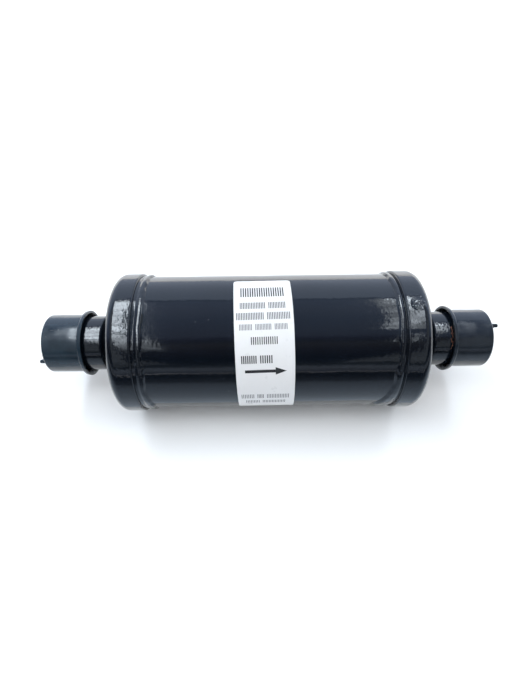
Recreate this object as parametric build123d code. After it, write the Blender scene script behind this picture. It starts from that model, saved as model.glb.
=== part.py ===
"""A liquid line filter drier with solder connections, in millimetres.

The shell lies along X and its centre is the origin. Refrigerant enters at -X
and leaves at +X. +Z is up. Angles called roll turn about X from straight up,
towards the front (-Y). Each piece is made on the outlet side, or centred, and
the inlet's pieces are mirror images of the outlet's.
"""

import os
from math import degrees, pi, sqrt

from build123d import *

# Shell: a length of 3 inch steel tube
shell_od = 76.2
shell_wall = 1.6
shell_length = 157.0

# End caps: deep-drawn steel dishes that slip over the ends of the tube
cap_wall = 1.6
cap_slip = 0.1
cap_lap = 8.5
cap_corner_r = 5.2
cap_edge_r = 1.1
cap_stop_gap = 0.05
collar_height = 2.4
collar_wall = 1.3
collar_bend_r = 1.6
collar_slip = 0.08

# Weld bead between each skirt and the tube
bead_width = 4.8
bead_rise = 1.15
bead_edge_rise = 0.55
bead_crown_at = 2.2

# Connections: 7/8 inch neck, belled out to a socket for 1-1/8 inch tube
neck_od = 22.2
neck_wall = 1.4
neck_inside = 3.0
neck_outside = 9.15
socket_r = 14.34
socket_wall = 1.41
socket_depth = 26.0
socket_stop_length = 3.0
barrel_length = 28.5
shoulder_length = 2.8
shoulder_r = 1.5
mouth_chamfer = 0.35
braze_leg = 1.3

# Plastic sealing caps, pushed over the connections
plug_slip = 0.1
plug_wall = 0.87
plug_end_wall = 1.2
plug_end_gap = 0.5
plug_length = 22.9
plug_corner_r = 1.4
lip_r = 19.0
lip_width = 2.2
lip_taper = 0.3
lip_edge_r = 0.9
lip_flare = 1.9
lip_flare_depth = 3.0
lip_root_r = 0.8
gate_inset = 4.7
gate_height = 4.9
gate_r = 1.35
gate_tip_r = 1.05
gate_web_width = 1.2
gate_web_reach = 6.4
gate_web_height = 4.6
inlet_gate_roll = 94.8
outlet_gate_roll = 2.0

# Sticker wrapped round the front of the shell
label_width = 30.4
label_height = 88.0
label_thickness = 0.12
label_glue = 0.02
label_corner_r = 2.0
label_centre_x = -2.3
label_roll = 43.7

# Moulded desiccant block
core_gap = 3.5
core_flutes = 12
flute_r = 3.0
flute_depth = 1.6
core_edge_r = 2.5
core_bore_r = 10.0
core_floor = 34.0
core_bore_taper = 2.0
core_bore_end_r = 5.0

# Soft discs that bed the block and catch dirt
felt_thickness = 2.0
felt_hole_r = 12.0
seal_thickness = 2.0
seal_hole_r = 20.0
mat_thickness = 6.0
mesh_thickness = 0.6
tube_fit = 0.3

# Perforated support cup at the outlet
support_wall = 1.0
support_depth = 9.0
support_bend_r = 2.0
corrugation_depth = 1.4
corrugation_pitch = 6.6
corrugation_ramp = 1.4
support_hole_r = 2.5
support_hole_pitch = 11.0

# Spring plate at the inlet: a shallow cup with ears that centre it in the tube
plate_wall = 1.2
plate_skirt = 6.0
plate_bend_r = 1.8
plate_slip = 0.3
plate_port_r = 4.2
plate_ports = 8
plate_port_circle_r = 13.5
plate_centre_port_r = 6.0
ear_count = 4
ear_width = 12.0

# Compression spring with ground ends
wire_d = 3.0
coil_inset = 13.0
coil_turns = 2.5
spring_length = 21.1

# Places that follow from the sizes
shell_r = shell_od / 2
bore_r = shell_r - shell_wall
tube_end = shell_length / 2
corner_start = tube_end + cap_stop_gap
cap_face = corner_start + cap_corner_r
cap_inner_face = cap_face - cap_wall
skirt_inner_r = shell_r + cap_slip
skirt_r = skirt_inner_r + cap_wall
skirt_edge = tube_end - cap_lap
cap_inner_corner_r = cap_corner_r - cap_wall

neck_r = neck_od / 2
collar_top = cap_face + collar_height
collar_inner_r = neck_r + collar_slip
barrel_r = socket_r + socket_wall
shoulder_start = cap_face + neck_outside
barrel_start = shoulder_start + shoulder_length
mouth = barrel_start + barrel_length

plug_inner_r = barrel_r + plug_slip
plug_r = plug_inner_r + plug_wall
plug_end = mouth + plug_end_gap + plug_end_wall
plug_mouth = plug_end - plug_length
gate_offset = plug_r - gate_inset

disc_r = bore_r - tube_fit
support_r = disc_r
corner_reach = support_r - (skirt_inner_r - cap_inner_corner_r)
support_seat = corner_start + sqrt(cap_inner_corner_r**2 - corner_reach**2)
support_face = support_seat - support_depth
corrugations = 2 * int((support_r - support_bend_r) / (2 * corrugation_pitch))
mesh_face = support_face - mesh_thickness
mat_face = mesh_face - mat_thickness
core_end = mat_face - seal_thickness
plate_face = spring_length - cap_inner_face
felt_start = plate_face + plate_wall
core_start = felt_start + felt_thickness
core_r = bore_r - core_gap
plate_inner_r = core_r + plate_slip
felt_r = plate_inner_r - plate_bend_r
coil_r = bore_r - coil_inset


def turned(*corners):
    """Revolve about X a closed outline of corners (x, radius[, rounding])."""
    points = [(x, r) for x, r, *_ in corners]
    rounds = [rounding[0] if rounding else 0 for _, _, *rounding in corners]
    return revolve(make_face(FilletPolyline(*points, radius=rounds, close=True)), Axis.X)


def at_inlet(piece):
    """The same piece at the other end of the shell."""
    return mirror(piece, about=Plane.YZ)


def bars_along_x(x_from, x_to, bar_r, circle_r, count):
    """Round bars along X, evenly spaced on a circle, for cutting holes."""
    spots = PolarLocations(circle_r, count) if circle_r else [Location()]
    ends = Plane.YZ.offset(x_from) * Sketch([spot * Circle(bar_r) for spot in spots])
    return extrude(ends, x_to - x_from, dir=(1, 0, 0))


def shell_tube():
    return turned(
        (-tube_end, bore_r),
        (-tube_end, shell_r),
        (tube_end, shell_r),
        (tube_end, bore_r),
    )


def end_cap():
    """Drawn dish with its skirt over the tube and a collar drawn out for the neck."""
    return turned(
        (skirt_edge, skirt_inner_r),
        (skirt_edge, skirt_r, cap_edge_r),
        (cap_face, skirt_r, cap_corner_r),
        (cap_face, collar_inner_r + collar_wall, collar_bend_r),
        (collar_top, collar_inner_r + collar_wall),
        (collar_top, collar_inner_r),
        (cap_inner_face, collar_inner_r, collar_bend_r),
        (cap_inner_face, skirt_inner_r, cap_inner_corner_r),
    )


def seam_weld():
    """Bead that fills the step from the skirt's edge down to the tube."""
    bead_edge_r = shell_r + bead_edge_rise
    crown = (skirt_edge - bead_crown_at, shell_r + bead_rise)
    toe = (skirt_edge - bead_width, shell_r)
    outline = [
        Line((skirt_edge, shell_r), (skirt_edge, bead_edge_r)),
        ThreePointArc((skirt_edge, bead_edge_r), crown, toe),
        Line(toe, (skirt_edge, shell_r)),
    ]
    return revolve(make_face(outline), Axis.X)


def connector():
    """Copper tube, narrow in the cap and belled out to the solder socket."""
    stop = mouth - socket_depth
    neck_bore_r = neck_r - neck_wall
    return turned(
        (cap_inner_face - neck_inside, neck_bore_r),
        (cap_inner_face - neck_inside, neck_r),
        (shoulder_start, neck_r, shoulder_r),
        (barrel_start, barrel_r, shoulder_r),
        (mouth - mouth_chamfer, barrel_r),
        (mouth, barrel_r - mouth_chamfer),
        (mouth, socket_r + mouth_chamfer),
        (mouth - mouth_chamfer, socket_r),
        (stop, socket_r, shoulder_r),
        (stop - socket_stop_length, neck_bore_r, shoulder_r),
    )


def braze_ring():
    """Hollow fillet of brazing alloy where the neck leaves the collar."""
    foot = (collar_top, neck_r + braze_leg)
    top = (collar_top + braze_leg, neck_r)
    waist = braze_leg * (1 - sqrt(0.5))
    outline = [
        Line((collar_top, neck_r), foot),
        ThreePointArc(foot, (collar_top + waist, neck_r + waist), top),
        Line(top, (collar_top, neck_r)),
    ]
    return revolve(make_face(outline), Axis.X)


def sealing_cap(gate_roll):
    """Moulded cap with a flared lip, and the stub of its gate on the end."""
    flare_r = plug_inner_r + lip_flare
    cup = turned(
        (plug_mouth, flare_r),
        (plug_mouth, lip_r),
        (plug_mouth + lip_width, lip_r - lip_taper, lip_edge_r),
        (plug_mouth + lip_width, plug_r, lip_root_r),
        (plug_end, plug_r, plug_corner_r),
        (plug_end, 0),
        (plug_end - plug_end_wall, 0),
        (plug_end - plug_end_wall, plug_inner_r),
        (plug_mouth + lip_flare_depth, plug_inner_r),
    )
    pin = Pos(plug_end, 0, gate_offset) * Rot(Y=90) * Cone(
        gate_r, gate_tip_r, gate_height, align=(Align.CENTER, Align.CENTER, Align.MIN)
    )
    web_outline = Plane.XZ * make_face(
        Polyline(
            (plug_end, gate_offset),
            (plug_end, gate_offset - gate_web_reach),
            (plug_end + gate_web_height, gate_offset),
            close=True,
        )
    )
    web = extrude(web_outline, gate_web_width / 2, both=True)
    return Rot(X=gate_roll) * (cup + pin + web)


def product_label():
    """Thin sticker on the tube, with its four corners rounded."""
    wrap = degrees(label_height / shell_r)
    mid_r = shell_r + label_glue + label_thickness / 2
    outline = Pos(label_centre_x, mid_r) * Rectangle(label_width, label_thickness)
    sheet = revolve(outline, Axis.X, wrap)
    sheet = fillet(sheet.edges().sort_by(SortBy.LENGTH)[0:4], label_corner_r)
    return Rot(X=90 - wrap / 2 + label_roll) * sheet


def desiccant_core():
    """Fluted block with a blind bore that opens towards the outlet."""
    block = turned(
        (core_start, 0),
        (core_start, core_r, core_edge_r),
        (core_end, core_r, core_edge_r),
        (core_end, core_bore_r),
        (core_start + core_floor, core_bore_r - core_bore_taper, core_bore_end_r),
        (core_start + core_floor, 0),
    )
    flute_circle_r = core_r + flute_r - flute_depth
    return block - bars_along_x(core_start, core_end, flute_r, flute_circle_r, core_flutes)


def disc(x_from, x_to, hole_r, outer_r):
    """Flat ring across the shell, or a full disc where hole_r is 0."""
    return turned((x_from, hole_r), (x_from, outer_r), (x_to, outer_r), (x_to, hole_r))


def corrugated_outline():
    """Mat side of the support plate, from its centre out: flats at two levels."""
    level = 0
    points = []
    flat_end = corrugation_pitch - corrugation_ramp
    for ring in range(corrugations):
        start_r = ring * corrugation_pitch
        points += [(level, start_r), (level, start_r + flat_end)]
        level = corrugation_depth - level
    return points + [(level, corrugations * corrugation_pitch)]


def outlet_plate():
    """Support cup: a perforated, corrugated plate whose rim seats in the cap."""
    face = [(support_face + x, r) for x, r in corrugated_outline()]
    back = [(x + support_wall, r) for x, r in reversed(face)]
    inner_r = support_r - support_wall
    rim = [
        (support_face, support_r, support_bend_r),
        (support_seat, support_r),
        (support_seat, inner_r),
        (support_face + support_wall, inner_r, support_bend_r - support_wall),
    ]
    plate = turned(*face, *rim, *back)
    cut_to = support_face + corrugation_depth + support_wall
    for ring in range(corrugations):
        circle_r = ring * corrugation_pitch + (corrugation_pitch - corrugation_ramp) / 2
        if ring == 0:
            circle_r = 0
        count = max(1, int(2 * pi * circle_r / support_hole_pitch))
        plate -= bars_along_x(support_face, cut_to, support_hole_r, circle_r, count)
    return plate


def spring_plate():
    """Pressed cup over the end of the block, with ports and centring ears."""
    cup_r = plate_inner_r + plate_wall
    rim = felt_start + plate_skirt
    cup = turned(
        (plate_face, 0),
        (plate_face, cup_r, plate_bend_r + plate_wall),
        (rim, cup_r),
        (rim, plate_inner_r),
        (felt_start, plate_inner_r, plate_bend_r),
        (felt_start, 0),
    )
    ear_ring = disc(rim - plate_wall, rim, plate_inner_r, disc_r)
    ear_bars = [
        Rot(X=turn * 360 / ear_count)
        * Pos(rim - plate_wall / 2, 0, disc_r)
        * Box(plate_wall, ear_width, 2 * (disc_r - plate_inner_r))
        for turn in range(ear_count)
    ]
    ears = ear_ring & Part(children=ear_bars)
    cup += ears
    cup -= bars_along_x(plate_face, felt_start, plate_centre_port_r, 0, 1)
    return cup - bars_along_x(plate_face, felt_start, plate_port_r, plate_port_circle_r, plate_ports)


def core_spring():
    """Coil between the inlet cap and the spring plate, ground flat at both ends."""
    path = Helix(
        pitch=spring_length / coil_turns,
        height=spring_length,
        radius=coil_r,
        center=(-cap_inner_face, 0, 0),
        direction=(1, 0, 0),
    )
    section = Plane(origin=path @ 0, z_dir=path % 0) * Circle(wire_d / 2)
    coil = sweep(section, path=path, is_frenet=True)
    return coil & disc(-cap_inner_face, plate_face, coil_r - wire_d, coil_r + wire_d)


def main():
    nodes = {
        "shell_tube": shell_tube(),
        "outlet_end_cap": end_cap(),
        "outlet_seam_weld": seam_weld(),
        "outlet_connector": connector(),
        "outlet_braze_ring": braze_ring(),
        "outlet_sealing_cap": sealing_cap(outlet_gate_roll),
        "product_label": product_label(),
        "desiccant_core": desiccant_core(),
        "inlet_felt": disc(felt_start, core_start, felt_hole_r, felt_r),
        "core_seal": disc(core_end, mat_face, seal_hole_r, disc_r),
        "filter_mat": disc(mat_face, mesh_face, 0, disc_r),
        "outlet_mesh": disc(mesh_face, support_face, 0, disc_r),
        "outlet_plate": outlet_plate(),
        "spring_plate": spring_plate(),
        "core_spring": core_spring(),
    }
    for name in ("end_cap", "seam_weld", "connector", "braze_ring"):
        nodes["inlet_" + name] = at_inlet(nodes["outlet_" + name])
    nodes["inlet_sealing_cap"] = at_inlet(sealing_cap(inlet_gate_roll))

    os.makedirs("parts", exist_ok=True)
    for name, piece in nodes.items():
        export_step(piece, f"parts/{name}.step")


main()
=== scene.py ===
# %% [markdown]
# A filter drier: a steel can on a refrigerant line, with a drying block inside.
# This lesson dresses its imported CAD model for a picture. The frame gives the main sizes and
# places, so each piece here is made where the real one sits, in metres, with the shell along X.

import math

import bmesh
import bpy
from mathutils import Matrix, Vector, noise


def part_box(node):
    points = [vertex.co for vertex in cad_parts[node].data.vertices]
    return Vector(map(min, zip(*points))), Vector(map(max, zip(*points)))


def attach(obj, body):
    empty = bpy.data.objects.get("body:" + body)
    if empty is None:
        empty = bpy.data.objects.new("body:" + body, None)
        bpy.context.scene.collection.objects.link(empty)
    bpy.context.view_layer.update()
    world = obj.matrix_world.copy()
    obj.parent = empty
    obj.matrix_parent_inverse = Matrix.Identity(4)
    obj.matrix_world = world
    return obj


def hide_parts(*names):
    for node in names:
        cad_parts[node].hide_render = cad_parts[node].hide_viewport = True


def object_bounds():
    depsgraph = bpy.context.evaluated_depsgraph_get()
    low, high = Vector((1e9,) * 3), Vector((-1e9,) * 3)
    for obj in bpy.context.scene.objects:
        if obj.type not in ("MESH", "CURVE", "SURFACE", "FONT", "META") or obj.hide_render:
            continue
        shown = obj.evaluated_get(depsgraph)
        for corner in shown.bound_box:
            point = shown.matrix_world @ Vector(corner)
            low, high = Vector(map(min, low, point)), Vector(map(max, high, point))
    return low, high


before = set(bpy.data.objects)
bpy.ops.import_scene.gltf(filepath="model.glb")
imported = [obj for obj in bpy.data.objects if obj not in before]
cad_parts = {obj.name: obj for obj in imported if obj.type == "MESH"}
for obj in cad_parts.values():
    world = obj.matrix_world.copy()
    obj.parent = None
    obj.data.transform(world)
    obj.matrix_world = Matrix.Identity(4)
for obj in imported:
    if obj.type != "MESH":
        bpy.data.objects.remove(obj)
cad_box = [list(corner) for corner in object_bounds()]
MM = 0.001

# %% [markdown]
# The photograph looks down on the drier from the front, through a short lens held close to it.
# Its focal length comes from how fast the two ends shrink with distance. The camera is placed
# first, because it decides which surfaces need the most care.

# %% Set up the camera
PHOTO_HEIGHT = 688
FOCAL_IN_PIXELS = 433
SENSOR = 36.0
CLIP_START = 10 * MM
ELEVATION = math.radians(55)
ROLL = -0.0139
SWING = -0.0063
EYE = Vector((-5.49, -2.13, 256.1)) * MM


def photo_camera():
    """A camera at the photograph's viewing angle. EYE is its place along its own axes."""
    data = bpy.data.cameras.new("photo_camera")
    data.sensor_fit = "VERTICAL"
    data.sensor_height = SENSOR
    data.lens = FOCAL_IN_PIXELS / PHOTO_HEIGHT * SENSOR
    data.clip_start = CLIP_START
    camera = bpy.data.objects.new("photo_camera", data)
    tilt = Matrix.Rotation(math.pi / 2 - ELEVATION, 4, "X")
    turn = tilt @ Matrix.Rotation(ROLL, 4, "Z") @ Matrix.Rotation(SWING, 4, "Y")
    camera.matrix_world = Matrix.Translation(turn @ EYE) @ turn
    bpy.context.scene.collection.objects.link(camera)
    bpy.context.scene.camera = camera
    return camera


camera = photo_camera()
bpy.context.scene.view_settings.view_transform = "Standard"
print("lens", round(camera.data.lens, 2), "mm")

# %% [markdown]
# A node tree is easier to read when each node is one call. add() makes a node, sets its options
# and then its inputs, and an input that is given another node's output is linked to it.

# %% A short way to build node trees
# Where a Mix node keeps its two colours, and the colour that it makes
MIX_LOW, MIX_HIGH, MIX_RESULT = 6, 7, 2
# Most of a noise's values lie between these
NOISE_SPREAD = (0.35, 0.65)


def add(tree, kind, inputs=None, **options):
    """Add one shader node. inputs maps a socket's name or number to a value or an output."""
    made = tree.nodes.new("ShaderNode" + kind)
    for option, value in options.items():
        setattr(made, option, value)
    for socket, value in (inputs or {}).items():
        if isinstance(value, bpy.types.NodeSocket):
            tree.links.new(value, made.inputs[socket])
        else:
            made.inputs[socket].default_value = value
    return made


def calc(tree, operation, *values, clamp=False):
    """The output of one Math node."""
    inputs = dict(enumerate(values))
    return add(tree, "Math", inputs, operation=operation, use_clamp=clamp).outputs[0]


def blend_colours(tree, mask, low, high):
    """A colour between low and high, by a mask from 0 to 1."""
    mix = add(tree, "Mix", {"Factor": mask}, data_type="RGBA")
    for socket, value in zip((mix.inputs[MIX_LOW], mix.inputs[MIX_HIGH]), (low, high)):
        if isinstance(value, bpy.types.NodeSocket):
            tree.links.new(value, socket)
        else:
            socket.default_value = (*value, 1)
    return mix.outputs[MIX_RESULT]


def between(tree, value, low, high, to_low=0.0, to_high=1.0):
    """A value mapped smoothly from one range to another and kept inside it."""
    inputs = {"Value": value, "From Min": low, "From Max": high, "To Min": to_low, "To Max": to_high}
    return add(tree, "MapRange", inputs, interpolation_type="SMOOTHSTEP").outputs["Result"]


def speckle(tree, place, size, detail=2.0):
    """A noise value from 0 to 1 whose lumps are about size metres across."""
    scale = calc(tree, "DIVIDE", 1.0, size) if isinstance(size, bpy.types.NodeSocket) else 1 / size
    return add(tree, "TexNoise", {"Vector": place, "Scale": scale, "Detail": detail}).outputs["Fac"]


def colour_stops(tree, value, stops):
    """Colours blended along value. stops holds (value, colour) from low to high."""
    low, high = stops[0][0], stops[-1][0]
    place = add(tree, "MapRange", {"Value": value, "From Min": low, "From Max": high}).outputs["Result"]
    ramp = add(tree, "ValToRGB", {"Fac": place})
    elements = ramp.color_ramp.elements
    while len(elements) < len(stops):
        elements.new(1.0)
    for element, (at, colour) in zip(elements, stops):
        element.position = (at - low) / (high - low)
        element.color = (*colour, 1)
    return ramp.outputs["Color"]


# %% [markdown]
# Gloss black paint has almost no colour of its own: what the eye sees is the room in it. So the
# room matters more than the paint. This one has a white sweep behind the drier, a dim blue
# ceiling, a dark front where the photographer stands, and two bright windows at the sides.
# The sweep, ceiling and front depend only on the angle round X, which the world's colour can give.

# %% The room, as the world's colour
# Degrees from straight up towards the back, and the colour there
CEILING_STOPS = [
    (-90.0, (0.29, 0.33, 0.42)),
    (-87.0, (0.30, 0.34, 0.42)),
    (-84.5, (0.52, 0.60, 0.72)),
    (-81.0, (0.52, 0.60, 0.72)),
    (-78.5, (0.13, 0.16, 0.18)),
    (-74.0, (0.05, 0.06, 0.07)),
    (-66.0, (0.004, 0.004, 0.006)),
    (-50.0, (0.08, 0.07, 0.08)),
    (-42.0, (0.17, 0.165, 0.17)),
    (-37.0, (0.105, 0.11, 0.14)),
    (-32.0, (0.13, 0.14, 0.24)),
    (-28.0, (0.28, 0.34, 0.50)),
    (0.0, (0.36, 0.47, 0.70)),
    (15.0, (0.48, 0.60, 0.86)),
    (35.5, (0.54, 0.69, 1.00)),
    (36.6, (0.30, 0.40, 0.60)),
    (37.8, (0.30, 0.40, 0.60)),
    (38.6, (1.06, 1.30, 1.70)),
    (90.0, (1.05, 1.20, 1.50)),
]


def room():
    """World colour by the angle from straight up towards the back, and plain white for the camera.

    Only reflections see its blue. Its light on the paper and the label is made neutral.
    """
    world = bpy.data.worlds.new("room")
    world.use_nodes = True
    tree = world.node_tree
    tree.nodes.clear()
    way = add(tree, "SeparateXYZ", {0: add(tree, "TexCoord").outputs["Generated"]}).outputs
    angle = calc(tree, "ARCTAN2", way["Y"], way["Z"])
    colour = colour_stops(tree, calc(tree, "DEGREES", angle), CEILING_STOPS)
    grey = add(tree, "RGBToBW", {0: colour}).outputs[0]
    ray = add(tree, "LightPath").outputs
    colour = blend_colours(tree, ray["Is Diffuse Ray"], colour, grey)
    seen = add(tree, "Background", {"Color": (1, 1, 1, 1), "Strength": 1.0})
    lit = add(tree, "Background", {"Color": colour, "Strength": 1.0})
    mixed = add(tree, "MixShader", {0: ray["Is Camera Ray"], 1: lit.outputs[0], 2: seen.outputs[0]})
    add(tree, "OutputWorld", {"Surface": mixed.outputs[0]})
    bpy.context.scene.world = world


room()
print("room with", len(CEILING_STOPS), "colour stops round X")

# %% [markdown]
# The windows, a curtain and dim walls beside them are panels that glow, level and above the drier.
# A panel's strength is its brightness, where 1 is white paper in this light, so a reflection of
# about 4% in the paint shows a window as a light grey patch. A view through glass is never even, so
# noise mottles their light. All panels are hidden from the camera. A graded card that glows lies in
# front of the drier, for reflections alone: it is a painted reflection of the paper, whose light it
# paints as darkening away from the drier.

# %% Windows and the graded card
WINDOW_HEIGHT = 0.80
WINDOW_COLOUR = (0.82, 0.91, 1.0)
MOTTLE_SIZE = 0.07
MOTTLE_RANGE = (0.55, 1.5)
CARD_REACH = 2.5
CARD_LIFT = 1.0 * MM
FLOOR_Z = cad_box[0][2]

# Name, x from and to, y from and to, then the brightness at its front and at its back
WINDOWS = [
    ("left_window", -0.442, -0.302, -0.290, 0.530, 15.0, 13.0),
    ("left_window_foot", -0.442, -0.302, -1.000, -0.315, 0.5, 7.5),
    ("left_wall", -0.900, -0.500, -1.400, 0.300, 0.6, 0.8),
    ("left_far_wall", -1.200, -0.580, -2.800, -1.400, 0.3, 0.6),
    ("right_pane", 0.352, 0.372, -0.290, 0.530, 7.0, 16.0),
    ("right_window", 0.379, 0.446, -0.290, 0.530, 1.5, 18.0),
    ("right_window_foot", 0.395, 0.440, -0.680, -0.420, 2.6, 3.2),
    ("right_curtain", 0.295, 0.352, -0.290, 0.530, 5.0, 1.6),
    ("right_wall", 0.600, 1.400, -2.800, 0.300, 0.5, 0.6),
]
# Place along Y, and the colour the card glows with there, as painted light of the paper
CARD_STOPS = [
    (-0.40, (0.030, 0.037, 0.046)),
    (-0.20, (0.150, 0.180, 0.220)),
    (-0.165, (0.40, 0.49, 0.60)),
    (-0.100, (0.60, 0.73, 0.90)),
    (-0.045, (0.80, 0.94, 1.10)),
]


def flat_panel(name, x_from, x_to, y_from, y_to, z, material):
    """A level rectangle that the camera doesn't see and that casts no shadow."""
    bm = bmesh.new()
    bmesh.ops.create_grid(bm, x_segments=1, y_segments=1, size=0.5)
    centre = Vector(((x_from + x_to) / 2, (y_from + y_to) / 2, z))
    bmesh.ops.scale(bm, vec=(x_to - x_from, y_to - y_from, 1), verts=bm.verts)
    bmesh.ops.translate(bm, vec=centre, verts=bm.verts)
    mesh = bpy.data.meshes.new(name)
    bm.to_mesh(mesh)
    bm.free()
    mesh.materials.append(material)
    panel = bpy.data.objects.new(name, mesh)
    bpy.context.scene.collection.objects.link(panel)
    panel.visible_camera = False
    panel.visible_shadow = False
    return panel


def shining(name):
    """A material that only shines. Returns it, its tree, the emission's inputs, and the place."""
    material = bpy.data.materials.new(name)
    material.use_nodes = True
    tree = material.node_tree
    tree.nodes.clear()
    light = add(tree, "Emission")
    add(tree, "OutputMaterial", {"Surface": light.outputs[0]})
    return material, tree, light.inputs, add(tree, "TexCoord").outputs["Object"]


def daylight(name, front, back, at_front, at_back):
    """Mottled light whose brightness changes from the panel's front to its back."""
    material, tree, sockets, place = shining(name)
    along = add(tree, "SeparateXYZ", {0: place}).outputs["Y"]
    brightness = between(tree, along, front, back, at_front, at_back)
    patches = between(tree, speckle(tree, place, MOTTLE_SIZE), *NOISE_SPREAD, *MOTTLE_RANGE)
    tree.links.new(calc(tree, "MULTIPLY", brightness, patches), sockets["Strength"])
    sockets["Color"].default_value = (*WINDOW_COLOUR, 1)
    return material


def graded_card():
    """A glowing card that paints the paper in front of the drier as its reflections show it."""
    material, tree, sockets, place = shining("painted_paper_glow")
    along = add(tree, "SeparateXYZ", {0: place}).outputs["Y"]
    tree.links.new(colour_stops(tree, along, CARD_STOPS), sockets["Color"])
    back = CARD_STOPS[-1][0]
    card = flat_panel(
        "graded_card", -CARD_REACH, CARD_REACH, -CARD_REACH, back, FLOOR_Z + CARD_LIFT, material
    )
    card.visible_diffuse = False


for name, x_from, x_to, front, back, at_front, at_back in WINDOWS:
    light = daylight(name + "_light", front, back, at_front, at_back)
    flat_panel(name, x_from, x_to, front, back, WINDOW_HEIGHT, light)
graded_card()
print(len(WINDOWS), "window panels", WINDOW_HEIGHT, "m up")

# %% [markdown]
# The label faces the camera, where the windows light it poorly. A large soft lamp above and
# behind the camera fills it in. It is hidden from reflections, so it leaves the black paint as it was.

# %% Fill lamp
FILL_PLACE = Vector((0.0, -0.40, 0.98))
FILL_SIZE = 0.7
FILL_POWER = 4.4


def fill_lamp():
    """A square area lamp aimed at the drier."""
    data = bpy.data.lights.new("fill_lamp", "AREA")
    data.size = FILL_SIZE
    data.energy = FILL_POWER
    lamp = bpy.data.objects.new("fill_lamp", data)
    aim = FILL_PLACE.to_track_quat("Z", "Y").to_matrix().to_4x4()
    lamp.matrix_world = Matrix.Translation(FILL_PLACE) @ aim
    bpy.context.scene.collection.objects.link(lamp)
    lamp.visible_camera = False
    lamp.visible_glossy = False


fill_lamp()
print("fill lamp of", FILL_POWER, "W")

# %% [markdown]
# The floor is white paper. The shadow under the drier is on its diffuse part, and a little glow
# that only the camera and reflections see lifts the open paper to pure white. The glow is nothing
# where the drier touches the paper, and grows with the distance from there, so the paper runs into
# the white background with no edge.

# %% Floor
FLOOR_REACH = 6.0
PAPER_COLOUR = (0.90, 0.90, 0.90)
RESTING_HALF = 0.11
NEAR_GLOW = 0.25
NEAR_RANGE = (0.035, 0.12)
FAR_GLOW = 1.0
FAR_RANGE = (0.18, 0.50)


def paper_floor():
    """A wide sheet of white paper just under the drier."""
    material = bpy.data.materials.new("white_paper")
    material.use_nodes = True
    tree = material.node_tree
    tree.nodes.clear()
    place = add(tree, "TexCoord").outputs["Object"]
    way = add(tree, "SeparateXYZ", {0: place}).outputs
    past_end = calc(tree, "SUBTRACT", calc(tree, "ABSOLUTE", way["X"]), RESTING_HALF)
    past_end = calc(tree, "MAXIMUM", past_end, 0.0)
    aside = add(tree, "CombineXYZ", {"X": past_end, "Y": way["Y"]})
    distance = add(tree, "VectorMath", {0: aside.outputs[0]}, operation="LENGTH").outputs["Value"]
    near = between(tree, distance, *NEAR_RANGE, 0.0, NEAR_GLOW)
    strength = calc(tree, "ADD", near, between(tree, distance, *FAR_RANGE, 0.0, FAR_GLOW))
    ray = add(tree, "LightPath").outputs
    seen = calc(tree, "ADD", ray["Is Camera Ray"], ray["Is Glossy Ray"], clamp=True)
    light = add(tree, "Emission", {"Strength": calc(tree, "MULTIPLY", strength, seen)})
    paper = add(tree, "BsdfDiffuse", {"Color": (*PAPER_COLOUR, 1)})
    both = add(tree, "AddShader", {0: paper.outputs[0], 1: light.outputs[0]})
    add(tree, "OutputMaterial", {"Surface": both.outputs[0]})
    floor = flat_panel("floor", -FLOOR_REACH, FLOOR_REACH, -FLOOR_REACH, FLOOR_REACH, FLOOR_Z, material)
    floor.visible_camera = True
    floor.visible_shadow = True


paper_floor()
print("floor at z =", round(FLOOR_Z, 4))

# %% [markdown]
# Several finishes share an effect, so each effect is a node group that is built once. Orange peel
# is the fine dimpling of sprayed or baked paint, over slow waves of the metal below. Its heights
# are real, in metres, so a bump distance of 1 with a strength of 1 shows them at full size.

# %% Shared effects: orange peel, specks and mottling
CELLS_WITHOUT_SPECK = 0.55
MOTTLE_DETAIL = 3.0


def new_group(name, inputs, outputs):
    """An empty shader group. inputs maps names to defaults, outputs maps names to socket types."""
    group = bpy.data.node_groups.new(name, "ShaderNodeTree")
    for label, default in inputs.items():
        socket = group.interface.new_socket(name=label, in_out="INPUT", socket_type="NodeSocketFloat")
        socket.default_value = default
    for label, kind in outputs.items():
        group.interface.new_socket(name=label, in_out="OUTPUT", socket_type=kind)
    return group, group.nodes.new("NodeGroupInput").outputs, group.nodes.new("NodeGroupOutput").inputs


def orange_peel_group():
    """Normal of dimpled paint, and how thick the paint lies."""
    defaults = {
        "Peel size": 2.0 * MM, "Peel depth": 0.02 * MM, "Wave size": 12 * MM, "Wave depth": 0.05 * MM,
    }
    outputs = {"Normal": "NodeSocketVector", "Thickness": "NodeSocketFloat"}
    group, given, out = new_group("orange_peel", defaults, outputs)
    place = add(group, "TexCoord").outputs["Object"]
    peel = speckle(group, place, given["Peel size"], detail=1.0)
    wave = speckle(group, place, given["Wave size"], detail=0.0)
    height = calc(
        group, "ADD",
        calc(group, "MULTIPLY", peel, given["Peel depth"]),
        calc(group, "MULTIPLY", wave, given["Wave depth"]),
    )
    bump = add(group, "Bump", {"Strength": 1.0, "Distance": 1.0, "Height": height})
    group.links.new(bump.outputs["Normal"], out["Normal"])
    group.links.new(wave, out["Thickness"])
    return group


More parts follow.
